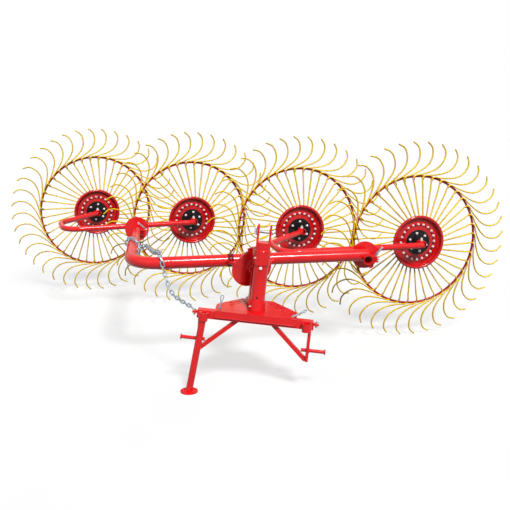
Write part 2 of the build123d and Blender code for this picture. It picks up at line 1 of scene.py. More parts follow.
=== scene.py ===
import json
import logging
import math
from dataclasses import dataclass, field
from enum import Enum
from typing import Iterable, Sequence

import bpy
from mathutils import Matrix, Vector


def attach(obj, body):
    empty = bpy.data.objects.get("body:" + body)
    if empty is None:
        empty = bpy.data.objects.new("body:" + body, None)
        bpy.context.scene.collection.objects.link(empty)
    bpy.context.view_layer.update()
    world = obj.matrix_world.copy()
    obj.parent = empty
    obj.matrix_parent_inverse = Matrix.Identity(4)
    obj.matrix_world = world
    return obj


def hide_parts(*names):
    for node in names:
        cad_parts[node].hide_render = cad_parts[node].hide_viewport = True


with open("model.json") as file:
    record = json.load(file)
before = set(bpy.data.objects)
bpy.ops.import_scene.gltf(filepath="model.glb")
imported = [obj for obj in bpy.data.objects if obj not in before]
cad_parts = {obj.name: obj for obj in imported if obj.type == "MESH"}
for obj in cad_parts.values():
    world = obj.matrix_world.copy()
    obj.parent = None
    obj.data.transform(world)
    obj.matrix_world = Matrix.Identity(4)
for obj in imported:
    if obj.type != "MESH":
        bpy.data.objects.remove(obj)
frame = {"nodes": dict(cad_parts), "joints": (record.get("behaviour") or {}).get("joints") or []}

LOG = logging.getLogger("rake")
MILLIMETRES = 1000.0
TINY = 1e-6
MERGE = 1e-5
BEAD_RIPPLE = 0.28
TUBE_BEAD = 0.0462
TUBE_BEAD_THICK = 0.0034


class Body(Enum):
    """The rigid bodies that pieces ride on."""

    HITCH = "hitch_frame"
    SWIVEL = "swivel"
    BOOM = "boom"
    LEFT_ROCKER = "rocker_left"
    RIGHT_ROCKER = "rocker_right"
    WHEEL_1 = "wheel_1"
    WHEEL_2 = "wheel_2"
    WHEEL_3 = "wheel_3"
    WHEEL_4 = "wheel_4"


class Slot(Enum):
    """The material slots of the record."""

    RED = "red_paint"
    DARK_RED = "dark_red_paint"
    YELLOW = "yellow_paint"
    BLACK = "black_paint"
    ZINC = "zinc"


class NodeGraph:
    """A material's node tree with short ways to add and join its nodes."""

    def __init__(self, name: str) -> None:
        """Starts a material with one shader.

        Args:
            name: The material's name.
        """
        self.material = bpy.data.materials.new(name)
        self.material.use_nodes = True
        self.tree = self.material.node_tree
        self.shader = self.tree.nodes["Principled BSDF"]
        self.place = self.tree.nodes.new("ShaderNodeTexCoord").outputs["Object"]

    def add(self, kind: str, **settings: object) -> bpy.types.Node:
        """Adds a node.

        Args:
            kind: Blender's name of the node type.
            settings: Properties of the node, or values of its inputs.

        Returns:
            The new node.
        """
        node = self.tree.nodes.new(kind)
        for key, value in settings.items():
            if hasattr(node, key):
                setattr(node, key, value)
            else:
                node.inputs[key.replace("_", " ")].default_value = value
        return node

    def join(self, source: bpy.types.NodeSocket, target: bpy.types.NodeSocket) -> None:
        """Links an output to an input."""
        self.tree.links.new(source, target)

    def noise(self, scale: float, detail: float = 3.0, rough: float = 0.5) -> bpy.types.NodeSocket:
        """Adds noise on the object's own coordinates.

        Args:
            scale: Waves per metre.
            detail: Octaves.
            rough: Strength of the finer octaves.

        Returns:
            The noise value's output.
        """
        node = self.add("ShaderNodeTexNoise", Scale=scale, Detail=detail, Roughness=rough)
        self.join(self.place, node.inputs["Vector"])
        return node.outputs["Fac"]

    def ramp(self, source: bpy.types.NodeSocket,
             stops: Sequence[tuple[float, tuple[float, ...]]]) -> bpy.types.NodeSocket:
        """Turns a value into a colour.

        Args:
            source: The value.
            stops: Places and colours.

        Returns:
            The colour's output.
        """
        node = self.add("ShaderNodeValToRGB")
        points = node.color_ramp.elements
        while len(points) < len(stops):
            points.new(0.5)
        for point, (place, colour) in zip(points, stops):
            point.position = place
            point.color = (*colour, 1.0)
        self.join(source, node.inputs["Fac"])
        return node.outputs["Color"]

    def span(self, source: bpy.types.NodeSocket, low: float, high: float) -> bpy.types.NodeSocket:
        """Maps a value from 0..1 to a range."""
        node = self.add("ShaderNodeMapRange", To_Min=low, To_Max=high)
        self.join(source, node.inputs["Value"])
        return node.outputs["Result"]

    def bump(self, source: bpy.types.NodeSocket, strength: float, depth: float) -> None:
        """Lets a value raise the surface.

        Args:
            source: The height.
            strength: Blender's bump strength.
            depth: The height of a full step in metres.
        """
        node = self.add("ShaderNodeBump", Strength=strength, Distance=depth)
        self.join(source, node.inputs["Height"])
        self.join(node.outputs["Normal"], self.shader.inputs["Normal"])


@dataclass(frozen=True)
class Paint:
    """A sprayed gloss paint with faint unevenness."""

    name: str
    slot: Slot
    colour: tuple[float, float, float]
    shade: tuple[float, float, float]
    roughness: float
    coat: float
    coat_roughness: float = 0.16
    specular: float = 0.05
    cloud_waves: float = 9.0
    gloss_waves: float = 45.0
    peel_waves: float = 130.0
    peel: float = 0.06
    peel_depth: float = 0.0003

    def build(self) -> bpy.types.Material:
        """Builds the paint's material.

        Returns:
            The material.
        """
        graph = NodeGraph(self.name)
        cloud = graph.noise(self.cloud_waves, 4.0)
        colour = graph.ramp(cloud, ((0.35, self.shade), (0.6, self.colour)))
        graph.join(colour, graph.shader.inputs["Base Color"])
        gloss = graph.noise(self.gloss_waves, 2.0)
        rough = graph.span(gloss, self.roughness - 0.05, self.roughness + 0.07)
        graph.join(rough, graph.shader.inputs["Roughness"])
        graph.shader.inputs["Coat Weight"].default_value = self.coat
        graph.shader.inputs["Specular IOR Level"].default_value = self.specular
        graph.shader.inputs["Coat Roughness"].default_value = self.coat_roughness
        graph.bump(graph.noise(self.peel_waves, 2.0), self.peel, self.peel_depth)
        return graph.material


@dataclass(frozen=True)
class Metal:
    """A bright plated or bare metal with fine mottling."""

    name: str
    slot: Slot
    colour: tuple[float, float, float]
    dull: tuple[float, float, float]
    roughness: float
    metallic: float = 1.0
    mottle_waves: float = 70.0
    gloss_waves: float = 180.0
    grain_waves: float = 300.0
    grain: float = 0.08
    grain_depth: float = 0.0003

    def build(self) -> bpy.types.Material:
        """Builds the metal's material.

        Returns:
            The material.
        """
        graph = NodeGraph(self.name)
        mottle = graph.noise(self.mottle_waves, 5.0, 0.6)
        colour = graph.ramp(mottle, ((0.35, self.dull), (0.65, self.colour)))
        graph.join(colour, graph.shader.inputs["Base Color"])
        graph.shader.inputs["Metallic"].default_value = self.metallic
        gloss = graph.noise(self.gloss_waves, 3.0)
        rough = graph.span(gloss, self.roughness - 0.08, self.roughness + 0.12)
        graph.join(rough, graph.shader.inputs["Roughness"])
        graph.bump(graph.noise(self.grain_waves, 3.0), self.grain, self.grain_depth)
        return graph.material


RED_PAINT = Paint(
    "red_gloss_paint", Slot.RED, (0.72, 0.009, 0.011), (0.62, 0.006, 0.008), 0.40, 0.55)
# Darker red: partly the dish's own deeper red, partly painted shade. On the dish it is painted
# shade for its front-facing face; on the rock pin it is painted shadow from the boom and the mast.
DEEP_RED_AND_SHADE_PAINT = Paint(
    "deep_red_and_painted_shade_paint", Slot.RED, (0.52, 0.005, 0.007), (0.42, 0.004, 0.005), 0.22, 0.65)
RIM_PAINT = Paint(
    "crimson_rim_paint", Slot.DARK_RED, (0.40, 0.008, 0.016), (0.24, 0.005, 0.010), 0.33, 0.3)
# Near-black red: the real dark seams at the elbows, and painted shadow for the dark ring on the
# boom.
SEAM_AND_SHADOW_PAINT = Paint(
    "dark_seam_and_shadow_paint", Slot.DARK_RED, (0.17, 0.004, 0.008), (0.11, 0.003, 0.005), 0.36, 0.2)
TINE_PAINT = Paint(
    "yellow_tine_paint", Slot.YELLOW, (0.84, 0.57, 0.008), (0.68, 0.44, 0.005), 0.42, 0.1)
# Black: the hub plates' own paint, and painted shade for the bolt shadows on the dishes and for the
# hole in the column.
BLACK_AND_SHADE_PAINT = Paint(
    "black_hub_and_shade_paint", Slot.BLACK, (0.012, 0.012, 0.014), (0.007, 0.007, 0.008), 0.34, 0.2)
ZINC = Metal("zinc_plate", Slot.ZINC, (0.72, 0.74, 0.77), (0.52, 0.54, 0.58), 0.3)
STEEL = Metal("ground_steel", Slot.ZINC, (0.42, 0.44, 0.45), (0.19, 0.20, 0.21), 0.32)
BRIGHT_ZINC = Metal(
    "bright_zinc_bolts", Slot.ZINC, (0.86, 0.82, 0.83), (0.70, 0.66, 0.68), 0.30, 0.35)
GALVANISED = Metal(
    "galvanised_chain", Slot.ZINC, (0.44, 0.51, 0.57), (0.21, 0.26, 0.31), 0.34, 0.75)


class Paintbox:
    """The finished materials, each built once."""

    def __init__(self) -> None:
        """Builds every finish."""
        finishes = (RED_PAINT, DEEP_RED_AND_SHADE_PAINT, RIM_PAINT, SEAM_AND_SHADOW_PAINT, TINE_PAINT, BLACK_AND_SHADE_PAINT, ZINC,
                    STEEL, BRIGHT_ZINC, GALVANISED)
        self.ready = {finish.name: finish.build() for finish in finishes}

    def dress(self, piece: bpy.types.Object, finish: Paint | Metal) -> None:
        """Gives a piece one finish all over."""
        piece.data.materials.clear()
        piece.data.materials.append(self.ready[finish.name])


def deselect() -> None:
    """Leaves edit mode and selects nothing."""
    if bpy.context.object and bpy.context.object.mode != "OBJECT":
        bpy.ops.object.mode_set(mode="OBJECT")
    bpy.ops.object.select_all(action="DESELECT")


def activate(pieces: Iterable[bpy.types.Object]) -> None:
    """Selects some pieces, the last of them active."""
    deselect()
    for piece in pieces:
        piece.select_set(True)
        bpy.context.view_layer.objects.active = piece


def joined(pieces: Sequence[bpy.types.Object], name: str) -> bpy.types.Object:
    """Joins pieces into one.

    Args:
        pieces: What is joined.
        name: The joined piece's name.

    Returns:
        The joined piece.
    """
    activate(pieces)
    if len(pieces) > 1:
        bpy.ops.object.join()
    whole = bpy.context.view_layer.objects.active
    whole.name = name
    return whole


def placed(piece: bpy.types.Object, place: Matrix) -> bpy.types.Object:
    """Moves a piece and applies the move to its mesh.

    Args:
        piece: A piece modelled about its own origin.
        place: Where that origin belongs.

    Returns:
        The piece.
    """
    activate([piece])
    piece.matrix_world = place @ piece.matrix_world
    bpy.ops.object.transform_apply(location=True, rotation=True, scale=True)
    return piece


def turned(rings: Sequence[tuple[float, float]], segments: int, name: str) -> bpy.types.Object:
    """Models a turned shape about the z axis by extruding a circle ring by ring.

    Args:
        rings: Radius and height of each ring in metres. A radius of 0 closes the shape there,
            and a last ring that repeats the first closes a bored part.
        segments: Corners of each ring.
        name: The piece's name.

    Returns:
        The piece.
    """
    deselect()
    radius, height = rings[0]
    bpy.ops.mesh.primitive_circle_add(vertices=segments, radius=max(radius, TINY),
                                      location=(0, 0, height))
    piece = bpy.context.object
    bpy.ops.object.transform_apply(location=True)
    bpy.ops.object.mode_set(mode="EDIT")
    bpy.ops.mesh.select_all(action="SELECT")
    for next_radius, next_height in rings[1:]:
        step = (0, 0, next_height - height)
        bpy.ops.mesh.extrude_region_move(TRANSFORM_OT_translate={"value": step})
        ratio = max(next_radius, TINY) / max(radius, TINY)
        if not math.isclose(ratio, 1):
            bpy.ops.transform.resize(value=(ratio, ratio, 1), center_override=(0, 0, next_height))
        radius, height = next_radius, next_height
    bpy.ops.mesh.select_all(action="SELECT")
    bpy.ops.mesh.remove_doubles(threshold=MERGE)
    bpy.ops.mesh.normals_make_consistent(inside=False)
    bpy.ops.object.mode_set(mode="OBJECT")
    piece.name = name
    return piece


def wire(points: Sequence[tuple[float, float, float]], radius: float, sides: int, steps: int,
         name: str, loop: bool = False, straight: bool = False) -> bpy.types.Object:
    """Models a bent round wire along a smooth line.

    Args:
        points: What the line follows, in metres.
        radius: The wire's radius.
        sides: Corners of its section.
        steps: Rings for each stretch between two points.
        name: The piece's name.
        loop: Whether the line closes on itself.
        straight: Whether the runs between the points are straight.

    Returns:
        The piece.
    """
    deselect()
    bpy.ops.curve.primitive_nurbs_path_add()
    piece = bpy.context.object
    line = piece.data
    line.splines.clear()
    spline = line.splines.new("BEZIER")
    spline.bezier_points.add(len(points) - 1)
    for knot, place in zip(spline.bezier_points, points):
        knot.co = place
        knot.handle_left_type = knot.handle_right_type = "VECTOR" if straight else "AUTO"
    spline.use_cyclic_u = loop
    line.dimensions = "3D"
    line.resolution_u = steps
    line.bevel_depth = radius
    line.bevel_resolution = max(sides // 2 - 2, 0)
    line.use_fill_caps = not loop
    bpy.ops.object.convert(target="MESH")
    piece = bpy.context.object
    bpy.ops.object.transform_apply(location=True, rotation=True, scale=True)
    bpy.ops.object.mode_set(mode="EDIT")
    bpy.ops.mesh.select_all(action="SELECT")
    bpy.ops.mesh.remove_doubles(threshold=TINY)
    bpy.ops.mesh.normals_make_consistent(inside=False)
    bpy.ops.object.mode_set(mode="OBJECT")
    piece.name = name
    return piece


def copies(piece: bpy.types.Object, places: Iterable[Matrix], name: str) -> bpy.types.Object:
    """Copies a piece to several places and joins the copies.

    Args:
        piece: The model, used up.
        places: Where each copy goes.
        name: The joined piece's name.

    Returns:
        The joined copies.
    """
    made = []
    for place in places:
        copy = piece.copy()
        copy.data = piece.data.copy()
        bpy.context.collection.objects.link(copy)
        copy.matrix_world = place @ piece.matrix_world
        made.append(copy)
    bpy.data.objects.remove(piece)
    whole = joined(made, name)
    bpy.ops.object.transform_apply(location=True, rotation=True, scale=True)
    return whole


def hex_bolt(width: float, height: float, washer: float, thick: float,
             stud: float = 0.0) -> bpy.types.Object:
    """Models a hexagon head or nut on its washer, standing on z = 0.

    Args:
        width: Across the flats.
        height: Of the head.
        washer: The washer's radius.
        thick: The washer's thickness.
        stud: How far the thread stands out of a nut, 0 for a head.

    Returns:
        The bolt.
    """
    corner = width / math.sqrt(3)
    disc = turned(((0, 0), (washer, 0), (washer, thick), (0, thick)), 14, "washer")
    top = thick + height
    chamfer = top - 0.12 * height
    head = turned(((0, thick), (corner, thick), (corner, chamfer), (0.86 * corner, top), (0, top)),
                  6, "head")
    parts = [disc, head]
    if stud:
        core, end = 0.3 * width, top + stud * 1.2
        thread = ((core, top), (core, top + stud), (0.6 * core, end), (0, end))
        parts.append(turned(thread, 8, "stud"))
    return joined(parts, "bolt")


def joint(name: str) -> dict:
    """Finds a joint of the record by its name."""
    return next(item for item in frame["joints"] if item["name"] == name)


def joint_yaw(name: str) -> float:
    """Reads how far a joint's level axis is turned away from the rear, in radians."""
    axis = joint(name)["axis"]
    return math.atan2(-axis[0], axis[1])


def frame_at(name: str) -> Matrix:
    """Finds the place of a joint whose axis points to the rear.

    Args:
        name: The joint's name.

    Returns:
        The place, with y along the joint's axis and z up.
    """
    turn = Matrix.Rotation(joint_yaw(name), 4, "Z")
    return Matrix.Translation(joint(name)["pos_m"]) @ turn


def mast_turn() -> Matrix:
    """Turns from the world to the leaned mast with the rock axis as y."""
    lean = math.acos(joint("swivel_turn")["axis"][2])
    return Matrix.Rotation(joint_yaw("boom_rock"), 4, "Z") @ Matrix.Rotation(lean, 4, "Y")


def mast_frame() -> Matrix:
    """Finds the hitch frame's place: the mast's foot, z up the mast and x along the hitch."""
    back = Matrix.Rotation(-joint_yaw("boom_rock"), 4, "Z")
    return Matrix.Translation(joint("swivel_turn")["pos_m"]) @ mast_turn() @ back


def swivel_frame() -> Matrix:
    """Finds the swivel's place: where the rock axis crosses the mast, y along that axis."""
    return Matrix.Translation(joint("boom_rock")["pos_m"]) @ mast_turn()


def at(x: float, y: float, z: float) -> Matrix:
    """Moves by some millimetres."""
    return Matrix.Translation((x / MILLIMETRES, y / MILLIMETRES, z / MILLIMETRES))


def spin(degrees: float, axis: str) -> Matrix:
    """Turns about one axis."""
    return Matrix.Rotation(math.radians(degrees), 4, axis)


def metres(points: Iterable[Sequence[float]]) -> list[tuple[float, ...]]:
    """Turns points in millimetres into metres."""
    return [tuple(value / MILLIMETRES for value in point) for point in points]


FACING_FRONT = spin(90, "X")
FACING_BACK = spin(-90, "X")
FACING_RIGHT = spin(90, "Y")


def ring_bead(radius: float, thick: float) -> bpy.types.Object:
    """Models an uneven weld bead round a tube, about the z axis.

    Args:
        radius: The bead's middle radius in metres.
        thick: Half its thickness.

    Returns:
        The bead.
    """
    deselect()
    bpy.ops.mesh.primitive_torus_add(major_radius=radius, minor_radius=thick, major_segments=48,
                                     minor_segments=7)
    return rippled(bpy.context.object, thick)


def line_bead(points: Sequence[Sequence[float]], thick: float = 2.6) -> bpy.types.Object:
    """Models an uneven weld bead along straight runs.

    Args:
        points: Corners in millimetres.
        thick: Half its thickness in millimetres.

    Returns:
        The bead.
    """
    piece = wire(metres(points), thick / MILLIMETRES, 6, 9, "bead", straight=True)
    return rippled(piece, thick / MILLIMETRES)


def rippled(piece: bpy.types.Object, thick: float) -> bpy.types.Object:
    """Shifts a bead's corners at random, as the ripples of a weld do.

    Args:
        piece: The bead.
        thick: Half its thickness in metres.

    Returns:
        The bead.
    """
    activate([piece])
    bpy.ops.object.mode_set(mode="EDIT")
    bpy.ops.mesh.select_all(action="SELECT")
    bpy.ops.transform.vertex_random(offset=BEAD_RIPPLE * thick, uniform=0.6, seed=7)
    bpy.ops.object.mode_set(mode="OBJECT")
    piece.name = "bead"
    return piece


def plate(outline: Sequence[tuple[float, float]], thick: float, edge: float,
          name: str) -> bpy.types.Object:
    """Models a flat plate with bevelled edges, its outline in x and y, its middle at z = 0.

    Args:
        outline: Corners in millimetres, anticlockwise.
        thick: Its thickness in millimetres.
        edge: The bevel in millimetres.
        name: The piece's name.

    Returns:
        The plate.
    """
    deselect()
    bpy.ops.mesh.primitive_circle_add(vertices=len(outline), radius=1.0, fill_type="NGON")
    piece = bpy.context.object
    for corner, (x, y) in zip(piece.data.vertices, outline):
        corner.co = (x / MILLIMETRES, y / MILLIMETRES, -thick / 2 / MILLIMETRES)
    bpy.ops.object.mode_set(mode="EDIT")
    bpy.ops.mesh.select_all(action="SELECT")
    rise = (0, 0, thick / MILLIMETRES)
    bpy.ops.mesh.extrude_region_move(TRANSFORM_OT_translate={"value": rise})
    bpy.ops.mesh.select_all(action="SELECT")
    bpy.ops.mesh.bevel(offset=edge / MILLIMETRES, segments=2)
    bpy.ops.mesh.normals_make_consistent(inside=False)
    bpy.ops.object.mode_set(mode="OBJECT")
    piece.name = name
    return piece


def stem(radius: float, length: float, sides: int = 10) -> bpy.types.Object:
    """Models a plain shank that stands on z = 0.

    Args:
        radius: Its radius in metres.
        length: Its length.
        sides: Corners of its section.

    Returns:
        The shank.
    """
    return turned(((radius, 0), (radius, length), (0, length)), sides, "stem")


def linch_pin(length: float) -> bpy.types.Object:
    """Models a linch pin that stands on z = 0, its head above and its spring ring aside.

    Args:
        length: From the tip to the head in metres.

    Returns:
        The pin.
    """
    top = length + 0.0165
    shank = turned(((0, 0), (0.0032, 0), (0.0046, 0.004), (0.0046, length),
                    (0.009, length + 0.001), (0.0095, length + 0.013), (0.007, top), (0, top)),
                   12, "shank")
    wide, tall, knots = 0.024, 0.021, 10
    middle = length + 0.008 - tall
    turns = [2 * math.pi * step / knots for step in range(knots)]
    line = [(0.0, wide * math.sin(turn), middle + tall * math.cos(turn)) for turn in turns]
    ring = placed(wire(line, 0.0021, 6, 2, "ring", loop=True), at(8.5, 0, 0) @ spin(-16, "Y"))
    return joined([shank, ring], "linch_pin")


def store_pin() -> bpy.types.Object:
    """Models a pin with a collar and a teardrop handle, standing in a hole at z = 0."""
    shank = turned(((0, -0.006), (0.0052, -0.006), (0.0052, 0.008), (0.0092, 0.0085),
                    (0.0092, 0.0135), (0.0058, 0.0145), (0.0058, 0.056), (0.0044, 0.060),
                    (0, 0.060)), 12, "shank")
    line = ((0, 0.0035, 0.054), (0, 0.0085, 0.072), (0, 0.0095, 0.084), (0, 0.005, 0.0925),
            (0, -0.002, 0.094), (0, -0.0085, 0.088), (0, -0.0085, 0.076), (0, -0.0035, 0.057))
    return joined([shank, wire(line, 0.003, 8, 3, "handle")], "store_pin")


def nipple() -> bpy.types.Object:
    """Models a grease nipple that stands on z = 0."""
    return turned(((0, 0), (0.0062, 0), (0.0062, 0.004), (0.0036, 0.0055), (0.0036, 0.0095),
                   (0.0048, 0.0115), (0.0034, 0.0145), (0, 0.0155)), 8, "nipple")


@dataclass
class Fitter:
    """Finishes a piece and hands it to a body."""

    paints: Paintbox

    def fit(self, piece: bpy.types.Object, name: str, place: Matrix, body: Body,
            finish: Paint | Metal, smooth_angle: float = 35.0) -> bpy.types.Object:
        """Settles, dresses and hands over a piece.

        Args:
            piece: The piece, about its own origin.
            name: Its name.
            place: Where its origin belongs.
            body: The body that it rides on.
            finish: Its finish.
            smooth_angle: Edges flatter than this many degrees are shaded smooth.

        Returns:
            The piece.
        """
        placed(piece, place)
        bpy.ops.object.shade_smooth_by_angle(angle=math.radians(smooth_angle))
        piece.name = name
        self.paints.dress(piece, finish)
        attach(piece, body.value)
        return piece


@dataclass
class StarWheel:
    """One of the four tined wheels."""

    number: int
    fitter: Fitter
    tine_count: int = 40
    wire_radius: float = 0.0056
    rim_radius: float = 0.469
    rim_bar: float = 0.0082
    dish_radius: float = 0.195
    dish_bore: float = 0.033
    dish_sheet: float = 0.003
    roll_radius: float = 0.0108
    bolt_circle: float = 0.129
    # Where the painted bolt shadows sit.
    bolt_shadow_circle: float = 0.1225
    bolt_count: int = 20
    plate_bolt_circle: float = 0.0665
    plate_bolt_count: int = 6
    plate_turns: Sequence[float] = (10.0, 10.0, 2.0, -11.0)
    plate_front: float = -0.0618
    dish_front: float = -0.0518
    hub_depth: float = -0.045
    rim_depth: float = -0.0111
    line: Sequence[tuple[float, float]] = field(default_factory=lambda: (
        (0.030, 0.127), (0.017, 0.270), (0.0065, 0.404), (0.0015, 0.456), (0.012, 0.4725),
        (0.060, 0.4785), (0.120, 0.488), (0.178, 0.504), (0.2235, 0.532), (0.255, 0.579),
        (0.2626, 0.6285), (0.2402, 0.6735)))

    def __post_init__(self) -> None:
        """Finds the wheel's place and body."""
        self.place = frame_at(f"wheel_{self.number}_spin")
        self.body = Body(f"wheel_{self.number}")

    def around(self, count: int, half_step: bool = False) -> list[Matrix]:
        """Spaces places evenly around the axle.

        Args:
            count: How many.
            half_step: Whether the first is half a step off the top.

        Returns:
            The turns.
        """
        shift = 0.5 if half_step else 0.0
        turns = [2 * math.pi * (index + shift) / count for index in range(count)]
        return [Matrix.Rotation(turn, 4, "Y") for turn in turns]

    def on_front(self, depth: float, radius: float) -> Matrix:
        """Finds a place above the axle that faces the front.

        Args:
            depth: How far behind the axle's middle, in metres.
            radius: How far above the axle.

        Returns:
            The place.
        """
        return Matrix.Translation((0, depth, radius)) @ FACING_FRONT

    def fit(self, piece: bpy.types.Object, name: str, finish: Paint | Metal,
            smooth_angle: float = 35.0) -> bpy.types.Object:
        """Hands a piece that is modelled about the axle to this wheel.

        Args:
            piece: The piece.
            name: Its name without the wheel's number.
            finish: Its finish.
            smooth_angle: Edges flatter than this many degrees are shaded smooth.

        Returns:
            The piece.
        """
        return self.fitter.fit(piece, f"{name}_{self.number}", self.place, self.body, finish,
                               smooth_angle)

    def tines(self) -> None:
        """Builds the forty spring tines."""
        start = self.line[0][1]
        slope = (self.rim_depth - self.hub_depth) / (self.rim_radius - start)
        points = [(x, self.hub_depth + slope * (z - start), z) for x, z in self.line]
        tine = wire(points, self.wire_radius, 6, 3, "tine")
        whole = copies(tine, self.around(self.tine_count, True), "tines")
        self.fit(whole, "tines", TINE_PAINT, 60)
        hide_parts(f"wheel_tines_{self.number}")

    def dish(self) -> None:
        """Builds the pressed dish with its rolled edge."""
        front, back = -self.dish_front, -(self.dish_front + self.dish_sheet)
        bore, roll = self.dish_bore, self.roll_radius
        middle, height = self.dish_radius - roll, back + 0.020
        rings = [(bore, back), (0.147, back), (0.153, back - 0.0035), (0.165, back - 0.0035),
                 (0.173, back + 0.003), (0.180, back + 0.008)]
        for angle in (math.radians(29 * step - 61) for step in range(10)):
            rings.append((middle + roll * math.cos(angle) + 0.001, height + roll * math.sin(angle)))
        rings += [(0.1705, front + 0.005), (0.164, front - 0.0032), (0.1555, front - 0.0032),
                  (0.150, front), (0.108, front), (0.102, front + 0.0025), (bore, front + 0.0025),
                  (bore, back)]
        dish = placed(turned(rings, 72, "dish"), FACING_FRONT)
        # The dish's darker red is partly painted shade on its front-facing face.
        self.fit(dish, "dish", DEEP_RED_AND_SHADE_PAINT, 40)
        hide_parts(f"wheel_dish_{self.number}")

    def tine_bolts(self) -> None:
        """Builds the bolts that clamp the tines to the dish."""
        bolt = hex_bolt(0.0125, 0.007, 0.0085, 0.0018, 0.004)
        bolt.matrix_world = self.on_front(self.dish_front, self.bolt_circle)
        whole = copies(bolt, self.around(self.bolt_count), "tine_bolts")
        self.fit(whole, "tine_bolts", BRIGHT_ZINC)

    def bolt_shadows(self) -> None:
        """Builds black three-cornered marks between the bolts, half a step off them: painted
        shadows for the shade under the bolts' clamps.
        """
        shadow_mark = turned(((0.0108, 0), (0.0108, 0.0006), (0.0092, 0.0011), (0, 0.0011)), 3, "shadow_mark")
        shadow_mark.matrix_world = self.on_front(self.dish_front + 0.0003, self.bolt_shadow_circle)
        whole = copies(shadow_mark, self.around(self.bolt_count, True), "bolt_shadows")
        self.fit(whole, "bolt_shadows", BLACK_AND_SHADE_PAINT)

    def plate_bolts(self) -> None:
        """Builds the bolts of the black hub plate."""
        bolt = hex_bolt(0.0135, 0.0075, 0.0095, 0.002, 0.005)
        bolt.matrix_world = self.on_front(self.plate_front, self.plate_bolt_circle)
        first = spin(self.plate_turns[self.number - 1], "Y")
        turns = [first @ turn for turn in self.around(self.plate_bolt_count)]
        self.fit(copies(bolt, turns, "plate_bolts"), "plate_bolts", BRIGHT_ZINC)

    def rim(self) -> None:
        """Builds the round ring with the hooks that hold each tine."""
        deselect()
        bpy.ops.mesh.primitive_torus_add(major_radius=self.rim_radius, minor_radius=self.rim_bar,
                                         major_segments=120, minor_segments=10,
                                         rotation=(math.pi / 2, 0, 0))
        ring = bpy.context.object
        hook_line = ((-0.006, -0.004, 0.4655), (-0.0035, -0.0125, 0.449), (0.0045, -0.0205, 0.4445),
                     (0.0095, -0.0185, 0.457), (0.0085, -0.0075, 0.4745))
        hook = wire(hook_line, 0.0024, 5, 1, "hook")
        hooks = copies(hook, self.around(self.tine_count, True), "hooks")
        whole = self.fit(joined([hooks, ring], "rim"), "rim", RIM_PAINT, 60)
        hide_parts(f"wheel_rim_{self.number}")

    def build(self) -> None:
        """Builds the wheel's pieces in order."""
        for make in (self.tines, self.dish, self.tine_bolts, self.bolt_shadows, self.plate_bolts,
                     self.rim):
            make()
        self.fitter.paints.dress(frame["nodes"][f"wheel_hub_{self.number}"], BLACK_AND_SHADE_PAINT)


@dataclass
class ArmEnd:
    """The elbow sleeve with its nut where a rocker tube ends at a wheel."""

    number: int
    fitter: Fitter
    sleeve_radius: float = 0.0252
    bore: float = 0.0213
    front: float = 0.152
    back: float = 0.084
    nut_front: float = 0.116

    def build(self) -> None:
        """Builds the sleeve, its two seams and the nut on top."""
        place = frame_at(f"wheel_{self.number}_spin")
        body = Body.LEFT_ROCKER if self.number < 3 else Body.RIGHT_ROCKER
        radius, bore, front, back = self.sleeve_radius, self.bore, self.front, self.back
        rings = ((bore, back), (radius - 0.002, back), (radius, back + 0.002),
                 (radius, front - 0.003), (radius - 0.003, front), (bore, front), (bore, back))
        sleeve = turned(rings, 32, "sleeve")
        self.fitter.fit(sleeve, f"elbow_sleeve_{self.number}", place @ FACING_FRONT, body,
                        RED_PAINT)
        seams = [placed(ring_bead(radius - 0.0004, 0.0016), Matrix.Translation((0, 0, depth)))
                 for depth in (front - 0.018, back + 0.016)]
        self.fitter.fit(joined(seams, "seams"), f"elbow_seams_{self.number}",
                        place @ FACING_FRONT, body, SEAM_AND_SHADOW_PAINT)
        nut = hex_bolt(0.017, 0.011, 0.0115, 0.002, 0.006)
        nut_place = place @ Matrix.Translation((0, -self.nut_front, radius - 0.0008))
        self.fitter.fit(nut, f"elbow_nut_{self.number}", nut_place, body, BRIGHT_ZINC)


